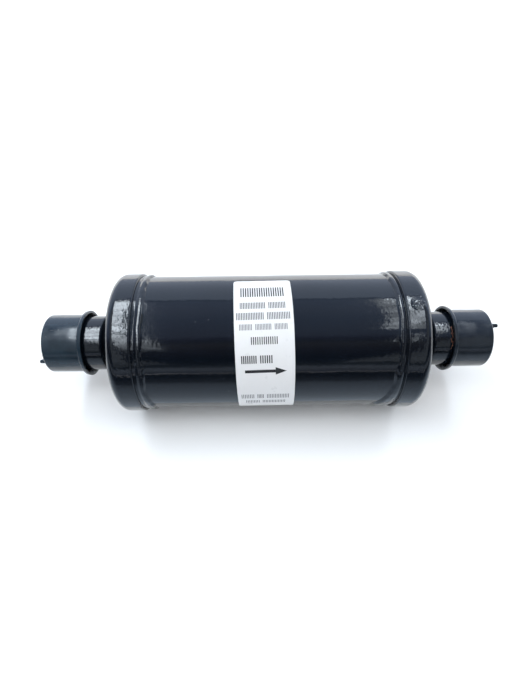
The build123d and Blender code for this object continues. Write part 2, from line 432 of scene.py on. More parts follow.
def dust_group():
    """Mask of small specks scattered at random."""
    group, given, out = new_group(
        "dust_specks", {"Spacing": 4 * MM, "Speck size": 0.12 * MM}, {"Mask": "NodeSocketFloat"}
    )
    place = add(group, "TexCoord").outputs["Object"]
    inputs = {"Vector": place, "Scale": calc(group, "DIVIDE", 1.0, given["Spacing"])}
    cells = add(group, "TexVoronoi", inputs)
    reach = calc(group, "DIVIDE", given["Speck size"], given["Spacing"])
    speck = calc(group, "LESS_THAN", cells.outputs["Distance"], reach)
    draw = add(group, "SeparateColor", {0: cells.outputs["Color"]}).outputs[0]
    kept = calc(group, "GREATER_THAN", draw, CELLS_WITHOUT_SPECK)
    group.links.new(calc(group, "MULTIPLY", speck, kept), out["Mask"])
    return group


def mottle_group():
    """Mask of soft uneven patches, for tint and gloss."""
    group, given, out = new_group(
        "mottling", {"Patch size": 15 * MM, "Contrast": 1.0}, {"Mask": "NodeSocketFloat"}
    )
    place = add(group, "TexCoord").outputs["Object"]
    patches = speckle(group, place, given["Patch size"], MOTTLE_DETAIL)
    spread = calc(group, "MULTIPLY", calc(group, "SUBTRACT", patches, 0.5), given["Contrast"])
    group.links.new(calc(group, "ADD", spread, 0.5, clamp=True), out["Mask"])
    return group


ORANGE_PEEL = orange_peel_group()
DUST = dust_group()
MOTTLE = mottle_group()


def effect(tree, group, **values):
    """Place a shared effect in a material. Spaces in an input's name are written as underscores."""
    made = tree.nodes.new("ShaderNodeGroup")
    made.node_tree = group
    for name, value in values.items():
        made.inputs[name.replace("_", " ")].default_value = value
    return made.outputs


def new_finish(name, **settings):
    """A material with one Principled shader. Returns the material, its tree and the shader."""
    material = bpy.data.materials.new(name)
    material.use_nodes = True
    tree = material.node_tree
    tree.nodes.clear()
    shader = add(tree, "BsdfPrincipled", {key.replace("_", " "): value for key, value in settings.items()})
    add(tree, "OutputMaterial", {"Surface": shader.outputs["BSDF"]})
    return material, tree, shader.inputs


print("shared effects:", ", ".join(group.name for group in (ORANGE_PEEL, DUST, MOTTLE)))

# %% [markdown]
# The shell is coated in black paint with a blue cast and a hard gloss. Its colour is nearly
# nothing, its reflections are sharp, and only the peel and a few specks of dust break them. The
# skirts take the same paint with a deeper peel, the welds with a finer one, and on the outlet's
# skirt a drop of it dried as a lumpy blob.

# %% Black paint
PAINT_THIN = (0.0022, 0.0034, 0.0056)
PAINT_THICK = (0.0034, 0.0052, 0.0085)
PAINT_GLOSS = (0.06, 0.12)
PAINT_WAVES = 0.09 * MM
DUST_COLOUR = (0.20, 0.20, 0.20)
DUST_ROUGHNESS = 0.4
BLOB_PLACE = (76.6 * MM, -6.2 * MM, 39.3 * MM)
BLOB_R = 4.4 * MM
BLOB_HEIGHT = 0.30 * MM
BLOB_FLAT_R = 0.65 * BLOB_R
BLOB_LUMPS = 2.0 * MM
BLOB_DIPS = 0.3


def lumpy_blob(tree, normal):
    """A normal with one lumpy blob of dried paint laid over it."""
    place = add(tree, "TexCoord").outputs["Object"]
    away = add(tree, "VectorMath", {0: place, 1: BLOB_PLACE}, operation="DISTANCE").outputs["Value"]
    lumps = between(tree, speckle(tree, place, BLOB_LUMPS), *NOISE_SPREAD, BLOB_DIPS, 1.0)
    swollen = calc(tree, "MULTIPLY", lumps, between(tree, away, BLOB_FLAT_R, BLOB_R, BLOB_HEIGHT, 0))
    blob = {"Strength": 1.0, "Distance": 1.0, "Height": swollen, "Normal": normal}
    return add(tree, "Bump", blob).outputs["Normal"]


def black_paint(name, peel_size, peel_depth):
    """Gloss black paint with a blue cast."""
    material, tree, sockets = new_finish(name)
    peel = effect(tree, ORANGE_PEEL, Peel_size=peel_size, Peel_depth=peel_depth, Wave_depth=PAINT_WAVES)
    dust = effect(tree, DUST, Spacing=7 * MM, Speck_size=0.14 * MM)["Mask"]
    patches = effect(tree, MOTTLE, Patch_size=20 * MM, Contrast=1.6)["Mask"]
    paint = blend_colours(tree, peel["Thickness"], PAINT_THIN, PAINT_THICK)
    colour = blend_colours(tree, dust, paint, DUST_COLOUR)
    dull = calc(tree, "MULTIPLY", dust, DUST_ROUGHNESS)
    rough = calc(tree, "ADD", between(tree, patches, 0, 1, *PAINT_GLOSS), dull)
    tree.links.new(colour, sockets["Base Color"])
    tree.links.new(rough, sockets["Roughness"])
    tree.links.new(lumpy_blob(tree, peel["Normal"]), sockets["Normal"])
    return material


SHELL_PAINT = black_paint("shell_paint", peel_size=2.1 * MM, peel_depth=0.030 * MM)
SKIRT_PAINT = black_paint("skirt_paint", peel_size=1.7 * MM, peel_depth=0.055 * MM)
WELD_PAINT = black_paint("weld_paint", peel_size=1.5 * MM, peel_depth=0.026 * MM)
print("paints:", SHELL_PAINT.name, SKIRT_PAINT.name, WELD_PAINT.name)

# %% [markdown]
# The connections are copper. The paint covers them up to an uneven line inside the sealing cap. At
# the outlet, on the side that faces the camera, a sliver of bare copper also shows at the cap's
# mouth. Masks on the distance along X and the angle round it, roughened by noise, divide paint
# from metal.

# %% Copper, bare and painted
COPPER_PALE = (0.80, 0.42, 0.30)
COPPER_TARNISHED = (0.46, 0.20, 0.12)
TARNISHED_ROUGHNESS = 0.38
PALE_ROUGHNESS = 0.24
PAINTED_ROUGHNESS = 0.10
STRIPPED_ROUGHNESS = 0.32
PAINT_LINE = 106.0 * MM
PAINT_LINE_BLUR = 0.15 * MM
EDGE_WANDER = 4.4 * MM
EDGE_LUMPS = 1.8 * MM
EDGE_DETAIL = 4.0
SLIVER_START = (102.3 * MM, 102.6 * MM)
SLIVER_STOP = (102.8 * MM, 103.2 * MM)
SLIVER_SPAN = (math.radians(14), math.radians(26))


def copper_colour(tree):
    """Copper's colour with soft brown tarnish, and the mask of its pale patches."""
    patches = effect(tree, MOTTLE, Patch_size=5 * MM, Contrast=2.2)["Mask"]
    return blend_colours(tree, patches, COPPER_TARNISHED, COPPER_PALE), patches


def bare_copper():
    """Drawn copper tube."""
    material, tree, sockets = new_finish("bare_copper", Metallic=1.0)
    colour, patches = copper_colour(tree)
    peel = effect(tree, ORANGE_PEEL, Peel_size=0.8 * MM, Peel_depth=0.004 * MM, Wave_depth=0.02 * MM)
    tree.links.new(colour, sockets["Base Color"])
    rough = between(tree, patches, 0, 1, TARNISHED_ROUGHNESS, PALE_ROUGHNESS)
    tree.links.new(rough, sockets["Roughness"])
    tree.links.new(peel["Normal"], sockets["Normal"])
    return material


def painted_copper():
    """Black paint that stops at an uneven line, with copper beyond it."""
    material, tree, sockets = new_finish("painted_copper")
    place = add(tree, "TexCoord").outputs["Object"]
    way = add(tree, "SeparateXYZ", {0: place}).outputs
    roll = calc(tree, "ARCTAN2", calc(tree, "MULTIPLY", way["Y"], -1.0), way["Z"])
    aside = calc(tree, "ABSOLUTE", calc(tree, "SUBTRACT", roll, math.pi / 2 - ELEVATION))
    ragged = calc(tree, "SUBTRACT", speckle(tree, place, EDGE_LUMPS, EDGE_DETAIL), 0.5)
    wander = calc(tree, "MULTIPLY", ragged, EDGE_WANDER)
    edge = calc(tree, "ADD", calc(tree, "ABSOLUTE", way["X"]), wander)
    sliver = calc(
        tree, "MULTIPLY",
        between(tree, edge, *SLIVER_START),
        between(tree, edge, *SLIVER_STOP, 1, 0),
    )
    sliver = calc(tree, "MULTIPLY", sliver, between(tree, aside, *SLIVER_SPAN, 1, 0))
    sliver = calc(tree, "MULTIPLY", sliver, calc(tree, "GREATER_THAN", way["X"], 0.0))
    bare_end = between(tree, edge, PAINT_LINE - PAINT_LINE_BLUR, PAINT_LINE + PAINT_LINE_BLUR)
    bare = calc(tree, "MAXIMUM", sliver, bare_end)
    copper, _ = copper_colour(tree)
    peel = effect(tree, ORANGE_PEEL, Peel_size=1.8 * MM, Peel_depth=0.06 * MM, Wave_depth=0.08 * MM)
    paint = blend_colours(tree, peel["Thickness"], PAINT_THIN, PAINT_THICK)
    tree.links.new(blend_colours(tree, bare, paint, copper), sockets["Base Color"])
    tree.links.new(bare, sockets["Metallic"])
    rough = between(tree, bare, 0, 1, PAINTED_ROUGHNESS, STRIPPED_ROUGHNESS)
    tree.links.new(rough, sockets["Roughness"])
    tree.links.new(peel["Normal"], sockets["Normal"])
    return material


BARE_COPPER = bare_copper()
PAINTED_COPPER = painted_copper()
print("paint stops", round(PAINT_LINE / MM, 1), "mm from the middle of the shell")

# %% [markdown]
# The sealing caps are moulded in dark slate plastic with a satin skin. They reflect the room too,
# but blurred, and their grey-blue comes from the pigment. The inlet's cap is a little paler. Soft
# scuffs and dust lie on both.

# %% Slate plastic
OUTLET_SLATE = ((0.0050, 0.0075, 0.0115), (0.0095, 0.0135, 0.0190))
INLET_SLATE = ((0.0075, 0.0150, 0.0230), (0.0130, 0.0240, 0.0350))
SLATE_ROUGHNESS = (0.12, 0.22)


def slate_plastic(name, deep, scuffed):
    """Satin plastic with slow waves, soft scuffs and dust."""
    material, tree, sockets = new_finish(name, IOR=1.5)
    peel = effect(
        tree, ORANGE_PEEL,
        Peel_size=0.7 * MM, Peel_depth=0.003 * MM, Wave_size=8 * MM, Wave_depth=0.20 * MM,
    )
    scuffs = effect(tree, MOTTLE, Patch_size=6 * MM, Contrast=2.4)["Mask"]
    dust = effect(tree, DUST, Spacing=3.5 * MM, Speck_size=0.14 * MM)["Mask"]
    skin = blend_colours(tree, scuffs, deep, scuffed)
    tree.links.new(blend_colours(tree, dust, skin, DUST_COLOUR), sockets["Base Color"])
    tree.links.new(between(tree, scuffs, 0, 1, *SLATE_ROUGHNESS), sockets["Roughness"])
    tree.links.new(peel["Normal"], sockets["Normal"])
    return material


OUTLET_PLASTIC = slate_plastic("outlet_slate", *OUTLET_SLATE)
INLET_PLASTIC = slate_plastic("inlet_slate", *INLET_SLATE)
print("plastics:", OUTLET_PLASTIC.name, INLET_PLASTIC.name)

# %% [markdown]
# Most of this object was turned, drawn or formed round its axis, so its outline in section says
# almost everything. turned() takes the corners of that section with their roundings, draws them as
# a wire, rounds each corner with a vertex bevel, and spins the wire once round X.

# %% Turning an outline into a piece
SPIN_STEPS = 192
ARC_STEP = math.radians(12)
FEWEST_ARC_SEGMENTS = 3
SAME_PLACE = 1e-7
SHARP_ANGLE = math.radians(40)


def outline_wire(corners):
    """A wire through corners (x, radius[, rounding]), closed unless it ends on the axis."""
    bm = bmesh.new()
    verts = [bm.verts.new((x, 0, r)) for x, r, *_ in corners]
    for first, second in zip(verts, verts[1:]):
        bm.edges.new((first, second))
    if corners[0][1] > 0:
        bm.edges.new((verts[-1], verts[0]))
    for vert, (_, _, *rounding) in zip(verts, corners):
        if rounding:
            before, after = (edge.other_vert(vert).co - vert.co for edge in vert.link_edges)
            bend = math.pi - before.angle(after)
            bmesh.ops.bevel(
                bm, geom=[vert], affect="VERTICES", offset=rounding[0] * math.tan(bend / 2),
                offset_type="OFFSET", segments=max(FEWEST_ARC_SEGMENTS, round(bend / ARC_STEP)),
                profile=0.5, material=-1, clamp_overlap=False,
            )
    return bm


def spun(bm, steps):
    """Spin the wire in bm once round X and close it into a clean surface."""
    bmesh.ops.spin(
        bm, geom=bm.verts[:] + bm.edges[:], cent=(0, 0, 0), axis=(1, 0, 0),
        angle=2 * math.pi, steps=steps, use_merge=True,
    )
    bmesh.ops.remove_doubles(bm, verts=bm.verts, dist=SAME_PLACE)
    bmesh.ops.recalc_face_normals(bm, faces=bm.faces)
    return bm


def turned(*corners, steps=SPIN_STEPS):
    """A closed surface of revolution from the corners of its section."""
    return spun(outline_wire(corners), steps)


def mirrored(bm):
    """The same piece at the inlet end."""
    bmesh.ops.scale(bm, vec=(-1, 1, 1), verts=bm.verts)
    bmesh.ops.recalc_face_normals(bm, faces=bm.faces)
    return bm


def piece(name, bm, materials, body, slot, *nodes):
    """Store bm as a smooth object on its body. It stands for the CAD nodes that are named."""
    mesh = bpy.data.meshes.new(name)
    bm.to_mesh(mesh)
    bm.free()
    mesh.shade_smooth()
    mesh.set_sharp_from_angle(angle=SHARP_ANGLE)
    for material in materials:
        mesh.materials.append(material)
    made = bpy.data.objects.new(name, mesh)
    bpy.context.scene.collection.objects.link(made)
    shading = made.modifiers.new("even_shading", "WEIGHTED_NORMAL")
    shading.keep_sharp = True
    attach(made, body)
    if nodes:
        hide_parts(*nodes)
    print(name, len(mesh.polygons), "faces")


# %% [markdown]
# The shell is a plain length of steel tube. The long straight faces need no rows of their own,
# because their shading is weighted by face area and stays true.

# %% Shell
_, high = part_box("shell_tube")
SHELL_R = high.z
TUBE_END = high.x
SHELL_WALL = 1.6 * MM

shell = turned(
    (-TUBE_END, SHELL_R - SHELL_WALL), (-TUBE_END, SHELL_R),
    (TUBE_END, SHELL_R), (TUBE_END, SHELL_R - SHELL_WALL),
)
piece("painted_shell", shell, [SHELL_PAINT], "drier", "black_coat", "shell_tube")

# %% [markdown]
# Each end cap is drawn from sheet steel. The press leaves a soft outer corner, a rolled edge on
# the skirt that slips over the shell, and a short collar round the copper neck.

# %% End caps
low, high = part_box("outlet_end_cap")
SKIRT_EDGE = low.x
SKIRT_R = high.z
COLLAR_TOP = high.x
CAP_WALL = 1.6 * MM
CAP_CORNER = 5.2 * MM
CAP_EDGE = 1.1 * MM
COLLAR_HEIGHT = 2.4 * MM
COLLAR_WALL = 1.3 * MM
COLLAR_BEND = 1.6 * MM
COLLAR_SLIP = 0.08 * MM
NECK_R = 11.1 * MM
CAP_FACE = COLLAR_TOP - COLLAR_HEIGHT
SKIRT_INNER_R = SKIRT_R - CAP_WALL


def drawn_cap():
    """A dish with its skirt over the shell and a collar for the neck."""
    collar_inner = NECK_R + COLLAR_SLIP
    collar_outer = collar_inner + COLLAR_WALL
    return turned(
        (SKIRT_EDGE, SKIRT_INNER_R),
        (SKIRT_EDGE, SKIRT_R, CAP_EDGE),
        (CAP_FACE, SKIRT_R, CAP_CORNER),
        (CAP_FACE, collar_outer, COLLAR_BEND),
        (COLLAR_TOP, collar_outer),
        (COLLAR_TOP, collar_inner),
        (CAP_FACE - CAP_WALL, collar_inner, COLLAR_BEND),
        (CAP_FACE - CAP_WALL, SKIRT_INNER_R, CAP_CORNER - CAP_WALL),
    )


piece("outlet_drawn_cap", drawn_cap(), [SKIRT_PAINT], "drier", "black_coat", "outlet_end_cap")
piece("inlet_drawn_cap", mirrored(drawn_cap()), [SKIRT_PAINT], "drier", "black_coat", "inlet_end_cap")

# %% [markdown]
# A machine lays the seam weld while the shell turns under the torch. The bead wanders a little,
# steps in fine ripples as the pool freezes, and has a lump where the run ends on its own start.
# At the outlet the last of it ran off across the shell in a wide low band. The section has a low
# valley by the skirt and one broad crest. Its wire is spun in many steps, and each vertex is then
# moved: outward by ripple and swell, which grow with its height over the shell, and along the shell
# by wander, which grows with its distance from the skirt's edge.

# %% Seam welds
BEAD_STEPS = 960
BEAD_FOOT = 2.0 * MM
BEAD_ROOT = 0.3 * MM
BEAD_START_HEIGHT = 0.50 * MM
BEAD_TOE_BEND = 0.4 * MM
# Corners of the valley and the crest: x from the crest towards the skirt, height, rounding
BEAD_CORNERS = [
    (2.2 * MM, 0.42 * MM, 0.7 * MM),
    (0.8 * MM, 1.02 * MM, 1.2 * MM),
    (-0.8 * MM, 1.10 * MM, 0.9 * MM),
]
RIPPLES = 158
RIPPLE_HEIGHT = 0.018 * MM
RIPPLE_LEAN = 2.2
RIPPLE_DRIFT = 3
RIPPLE_LEAST = 0.6
RIPPLE_UNREST = 0.8
SWELL_SLOW = 0.10
SWELL_FAST = 0.12
SWAY_FAST = 0.45
LUMP_SPAN = 0.09
LUMP_HEIGHT = 0.25
LUMP_REACH = 0.6 * MM
RUN_OFF_AT = math.radians(120)
RUN_OFF_SPAN = math.radians(30)
# Lumps in a noise, and what sets it apart from the bead's other noises
DRIFT_NOISE = (6, 5)
UNREST_NOISE = (14, 7)
SLOW_SWELL_NOISE = (2.5, 0)
FAST_SWELL_NOISE = (9, 9)
SLOW_SWAY_NOISE = (3.2, 2)
FAST_SWAY_NOISE = (10, 3)


def around(vert):
    """The angle of a vertex round X, from straight up towards the front."""
    return math.atan2(-vert.co.y, vert.co.z)


def ring_noise(angle, seed, lumps, shift):
    """Smooth noise from about -1 to 1 that closes on itself after one turn."""
    return noise.noise(Vector((math.cos(angle) * lumps, math.sin(angle) * lumps, seed + shift)))


def bell(angle, middle, span):
    """1 at the middle angle, falling to nothing a few spans away on both sides."""
    return math.exp(-((math.remainder(angle - middle, 2 * math.pi) / span) ** 2))


def seam_bead(seed, crest, wander, stop_angle, run_off):
    """Weld bead whose crest lies past the outlet skirt's edge.

    run_off is how far the bead strays near RUN_OFF_AT.
    """
    width = crest + BEAD_FOOT
    bm = turned(
        (SKIRT_EDGE + BEAD_ROOT, SHELL_R - BEAD_ROOT),
        (SKIRT_EDGE + BEAD_ROOT, SHELL_R + BEAD_START_HEIGHT),
        *[(SKIRT_EDGE - crest + x, SHELL_R + height, bend) for x, height, bend in BEAD_CORNERS],
        (SKIRT_EDGE - width, SHELL_R, BEAD_TOE_BEND),
        (SKIRT_EDGE - width, SHELL_R - BEAD_ROOT),
        steps=BEAD_STEPS,
    )
    for vert in bm.verts:
        angle = around(vert)
        outward = Vector((0, vert.co.y, vert.co.z)).normalized()
        height = max(0, vert.co.yz.length - SHELL_R) / MM
        toe = (SKIRT_EDGE - vert.co.x) / width
        phase = RIPPLES * angle + RIPPLE_DRIFT * ring_noise(angle, seed, *DRIFT_NOISE) + RIPPLE_LEAN * toe
        unrest = RIPPLE_LEAST + RIPPLE_UNREST * ring_noise(angle, seed, *UNREST_NOISE)
        ripple = RIPPLE_HEIGHT * math.sin(phase) * height * unrest
        lump = bell(angle, stop_angle, LUMP_SPAN)
        swell = SWELL_SLOW * ring_noise(angle, seed, *SLOW_SWELL_NOISE)
        swell += SWELL_FAST * ring_noise(angle, seed, *FAST_SWELL_NOISE)
        vert.co += outward * (ripple + (swell + LUMP_HEIGHT * lump) * height * MM)
        sway = ring_noise(angle, seed, *SLOW_SWAY_NOISE)
        sway += SWAY_FAST * ring_noise(angle, seed, *FAST_SWAY_NOISE)
        stray = bell(angle, RUN_OFF_AT, RUN_OFF_SPAN)
        vert.co.x -= toe * (wander * sway + run_off * stray + LUMP_REACH * lump)
    return bm


outlet_bead = seam_bead(
    seed=4.2, crest=2.5 * MM, wander=1.0 * MM, stop_angle=math.radians(64), run_off=9 * MM
)
inlet_bead = seam_bead(
    seed=11.7, crest=3.7 * MM, wander=1.0 * MM, stop_angle=math.radians(150), run_off=1 * MM
)
piece("outlet_weld_bead", outlet_bead, [WELD_PAINT], "drier", "coated_weld", "outlet_seam_weld")
piece("inlet_weld_bead", mirrored(inlet_bead), [WELD_PAINT], "drier", "coated_weld", "inlet_seam_weld")

# %% [markdown]
# The copper connections are one tube each: a neck through the cap's collar, belled out to the
# socket that a pipe is soldered into. Faces that look at the axis are never painted, so they take
# the second material. Brazing alloy fills the corner between neck and collar.

# %% Connections and brazing
low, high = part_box("outlet_connector")
MOUTH = high.x
BARREL_R = high.z
NECK_START = low.x
NECK_WALL = 1.4 * MM
NECK_BORE_R = NECK_R - NECK_WALL
SOCKET_WALL = 1.41 * MM
SOCKET_R = BARREL_R - SOCKET_WALL
BARREL_LENGTH = 31.3 * MM
SHOULDER_LENGTH = 2.1 * MM
SHOULDER_BEND = 1.0 * MM
BARREL_BEND = 1.6 * MM
SOCKET_DEPTH = 26.0 * MM
SOCKET_STOP = 3.0 * MM
MOUTH_CHAMFER = 0.35 * MM
BRAZE_LEG = 1.3 * MM
BRAZE_HOLLOW = 0.3 * BRAZE_LEG
BRAZE_BEND = 0.6 * BRAZE_LEG


def copper_stub():
    """Neck, shoulder and socket, with the bore in the second material."""
    barrel_start = MOUTH - BARREL_LENGTH
    stop = MOUTH - SOCKET_DEPTH
    bm = turned(
        (NECK_START, NECK_BORE_R),
        (NECK_START, NECK_R),
        (barrel_start - SHOULDER_LENGTH, NECK_R, SHOULDER_BEND),
        (barrel_start, BARREL_R, BARREL_BEND),
        (MOUTH - MOUTH_CHAMFER, BARREL_R),
        (MOUTH, BARREL_R - MOUTH_CHAMFER),
        (MOUTH, SOCKET_R + MOUTH_CHAMFER),
        (MOUTH - MOUTH_CHAMFER, SOCKET_R),
        (stop, SOCKET_R, SHOULDER_BEND),
        (stop - SOCKET_STOP, NECK_BORE_R, SHOULDER_BEND),
    )
    for face in bm.faces:
        centre = face.calc_center_median()
        if face.normal.yz.dot(centre.yz) < 0:
            face.material_index = 1
    return bm


def braze_fillet():
    """A hollow fillet of alloy round the neck."""
    return turned(
        (COLLAR_TOP, NECK_R),
        (COLLAR_TOP, NECK_R + BRAZE_LEG),
        (COLLAR_TOP + BRAZE_HOLLOW, NECK_R + BRAZE_HOLLOW, BRAZE_BEND),
        (COLLAR_TOP + BRAZE_LEG, NECK_R),
    )


for end, shape in (("outlet", lambda bm: bm), ("inlet", mirrored)):
    piece(
        end + "_copper_stub", shape(copper_stub()), [PAINTED_COPPER, BARE_COPPER],
        "drier", "copper", end + "_connector",
    )
    piece(
        end + "_braze_fillet", shape(braze_fillet()), [WELD_PAINT],
        "drier", "black_coat", end + "_braze_ring",
    )

# %% [markdown]
# The sealing caps are injection moulded. Each is a thin cup with a flared lip like a small
# trumpet, and on its end stands the stub where the plastic was let into the mould, with a web
# that stiffens it. The stub is a cone from create_cone and the web a triangle that is extruded.

# %% Sealing caps
low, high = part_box("outlet_sealing_cap")
LIP_MOUTH = low.x
LIP_R = 19.0 * MM
PLUG_SLIP = 0.1 * MM
PLUG_WALL = 0.87 * MM
PLUG_LENGTH = 22.9 * MM
PLUG_INNER_R = BARREL_R + PLUG_SLIP
PLUG_R = PLUG_INNER_R + PLUG_WALL
PLUG_END = LIP_MOUTH + PLUG_LENGTH
PLUG_END_WALL = 1.2 * MM
PLUG_CORNER = 1.4 * MM
PLUG_INNER_BEND = 0.3 * MM
LIP_WIDTH = 2.2 * MM
LIP_TAPER = 0.3 * MM
LIP_FLARE = 1.9 * MM
LIP_ROOT_BEND = 0.8 * MM
LIP_BACK_BEND = 0.9 * MM
LIP_EDGE_BEND = 0.2 * MM
FLARE_DEPTH = 3.0 * MM
FLARE_BEND = 2.0 * MM
GATE_INSET = 4.7 * MM
GATE_OFFSET = PLUG_R - GATE_INSET
GATE_HEIGHT = high.x - PLUG_END
GATE_R = 1.35 * MM
GATE_TIP_R = 1.05 * MM
GATE_TIP_BEND = 0.35 * MM
GATE_SEGMENTS = 32
GATE_TIP_SEGMENTS = 4
OUTLET_GATE_ROLL = math.radians(2.0)
INLET_GATE_ROLL = math.radians(94.8)
WEB_REACH = 6.4 * MM
WEB_HEIGHT = 4.6 * MM
WEB_WIDTH = 1.2 * MM
GATE_SINK = 0.2 * MM


def gate_stub(bm):
    """Add the gate's cone and its web to a cap, above the axis."""
    sink = Matrix.Translation((PLUG_END + (GATE_HEIGHT - GATE_SINK) / 2, 0, GATE_OFFSET))
    cone = bmesh.ops.create_cone(
        bm, cap_ends=True, segments=GATE_SEGMENTS, radius1=GATE_R, radius2=GATE_TIP_R,
        depth=GATE_HEIGHT + GATE_SINK, matrix=sink @ Matrix.Rotation(math.pi / 2, 4, "Y"),
    )
    edges = {edge for vert in cone["verts"] for edge in vert.link_edges}
    tip = [edge for edge in edges if all(vert.co.x > PLUG_END + GATE_SINK for vert in edge.verts)]
    bmesh.ops.bevel(
        bm, geom=tip, affect="EDGES", offset=GATE_TIP_BEND, offset_type="OFFSET",
        segments=GATE_TIP_SEGMENTS, profile=0.5, material=-1,
    )
    side = [
        bm.verts.new((PLUG_END + along, -WEB_WIDTH / 2, GATE_OFFSET - down))
        for along, down in ((-GATE_SINK, 0), (-GATE_SINK, WEB_REACH + GATE_SINK), (WEB_HEIGHT, 0))
    ]
    grown = bmesh.ops.extrude_face_region(bm, geom=[bm.faces.new(side)])["geom"]
    far_side = [item for item in grown if isinstance(item, bmesh.types.BMVert)]
    bmesh.ops.translate(bm, vec=(0, WEB_WIDTH, 0), verts=far_side)


def moulded_cap(gate_roll):
    """A flared cup with its gate stub turned to gate_roll round X."""
    bm = turned(
        (PLUG_END, 0),
        (PLUG_END, PLUG_R, PLUG_CORNER),
        (LIP_MOUTH + LIP_WIDTH, PLUG_R, LIP_ROOT_BEND),
        (LIP_MOUTH + LIP_WIDTH, LIP_R - LIP_TAPER, LIP_BACK_BEND),
        (LIP_MOUTH, LIP_R, LIP_EDGE_BEND),
        (LIP_MOUTH, PLUG_INNER_R + LIP_FLARE, LIP_EDGE_BEND),
        (LIP_MOUTH + FLARE_DEPTH, PLUG_INNER_R, FLARE_BEND),
        (PLUG_END - PLUG_END_WALL, PLUG_INNER_R, PLUG_INNER_BEND),
        (PLUG_END - PLUG_END_WALL, 0),
    )
    gate_stub(bm)
    bmesh.ops.recalc_face_normals(bm, faces=bm.faces)
    turn = Matrix.Rotation(gate_roll, 3, "X")
    bmesh.ops.rotate(bm, cent=(0, 0, 0), matrix=turn, verts=bm.verts)
    return bm


piece(
    "outlet_moulded_cap", moulded_cap(OUTLET_GATE_ROLL), [OUTLET_PLASTIC],
    "outlet_cap", "cap_plastic", "outlet_sealing_cap",
)
piece(
    "inlet_moulded_cap", mirrored(moulded_cap(INLET_GATE_ROLL)), [INLET_PLASTIC],
    "inlet_cap", "cap_plastic", "inlet_sealing_cap",
)

# %% [markdown]
# The label is a white vinyl sticker, about a degree askew. It is drawn flat as a rectangle with
# beveled corners, given its thickness, cut into narrow rows so that it can bend, and rolled round
# the shell. The print is made in the same way, a hair above it: groups of upright marks in rows,
# and a plain arrow that gives the direction of flow.

# %% Sticker and print
LABEL_SIZE = (30.4 * MM, 88.0 * MM)
LABEL_X = -2.3 * MM
LABEL_ROLL = math.radians(43.7)
LABEL_ASKEW = math.radians(1.2)
LABEL_CORNER = 2.0 * MM
LABEL_CORNER_SEGMENTS = 8
LABEL_THICKNESS = 0.12 * MM
LABEL_GAP = 0.02 * MM
INK_THICKNESS = 0.012 * MM
ROW_STEP = 1.5 * MM
LABEL_TOP_R = SHELL_R + LABEL_GAP + LABEL_THICKNESS

# Rows of print, in mm on the flat label: left, right, low, high, mark width, mark spacing, ink,
# and the shares of its groups
PRINT_ROWS = [
    (-11.6, 11.0, 29.9, 36.9, 0.66, 1.25, 0, (1,)),
    (-12.0, 11.3, 22.4, 26.2, 0.42, 0.85, 1, (6, 4)),
    (-14.0, 13.4, 16.3, 20.2, 0.42, 0.85, 1, (6, 5)),
    (-12.6, 11.8, 10.9, 14.0, 0.38, 0.80, 2, (4, 5, 4)),
    (-6.9, 6.6, 3.5, 7.4, 0.50, 1.10, 0, (1,)),
    (-12.2, 3.7, -6.3, -2.1, 0.60, 1.05, 0, (5, 4)),
    (-13.1, 12.2, -30.8, -26.9, 0.36, 0.85, 1, (4, 2, 7)),
    (-10.9, 10.3, -36.8, -33.2, 0.36, 0.85, 1, (3, 5)),
]
GROUP_GAP = 1.8
ARROW = [
    (-10.5, -11.6), (5.2, -11.6), (5.2, -12.9), (10.9, -10.75), (5.2, -8.6), (5.2, -9.9), (-10.5, -9.9),
]


def hatched_row(left, right, low, high, mark, spacing, groups):
    """Corner lists of upright marks that fill a row, with gaps between its groups."""
    free = right - left - GROUP_GAP * (len(groups) - 1)
    start = left
    for share in groups:
        width = free * share / sum(groups)
        count = max(2, round((width - mark) / spacing) + 1)
        for place in range(count):
            x = start + place * (width - mark) / (count - 1)
            yield [(x, low), (x + mark, low), (x + mark, high), (x, high)]
        start += width + GROUP_GAP


def rolled_on(bm, thickness, radius):
    """Thicken flat faces, cut them into rows, and roll them askew round the shell."""
    grown = bmesh.ops.extrude_face_region(bm, geom=bm.faces[:])["geom"]
    top = [item for item in grown if isinstance(item, bmesh.types.BMVert)]
    bmesh.ops.translate(bm, vec=(0, 0, thickness), verts=top)
    rows = int(LABEL_SIZE[1] / ROW_STEP)
    for row in range(-rows // 2, rows // 2 + 1):
        everything = bm.verts[:] + bm.edges[:] + bm.faces[:]
        bmesh.ops.bisect_plane(bm, geom=everything, plane_co=(0, row * ROW_STEP, 0), plane_no=(0, 1, 0))
    turn = Matrix.Rotation(LABEL_ASKEW, 3, "Z")
    bmesh.ops.rotate(bm, cent=(0, 0, 0), matrix=turn, verts=bm.verts)
    for vert in bm.verts:
        angle = LABEL_ROLL - vert.co.y / radius
        reach = radius + vert.co.z
        vert.co = (LABEL_X + vert.co.x, -reach * math.sin(angle), reach * math.cos(angle))
    bmesh.ops.recalc_face_normals(bm, faces=bm.faces)
    return bm


def sticker():
    """The bare label."""
    bm = bmesh.new()
    bmesh.ops.create_grid(bm, x_segments=1, y_segments=1, size=0.5)
    bmesh.ops.scale(bm, vec=(*LABEL_SIZE, 1), verts=bm.verts)
    bmesh.ops.bevel(
        bm, geom=bm.verts[:], affect="VERTICES", offset=LABEL_CORNER, offset_type="OFFSET",
        segments=LABEL_CORNER_SEGMENTS, profile=0.5, material=-1,
    )
    return rolled_on(bm, LABEL_THICKNESS, LABEL_TOP_R - LABEL_THICKNESS)


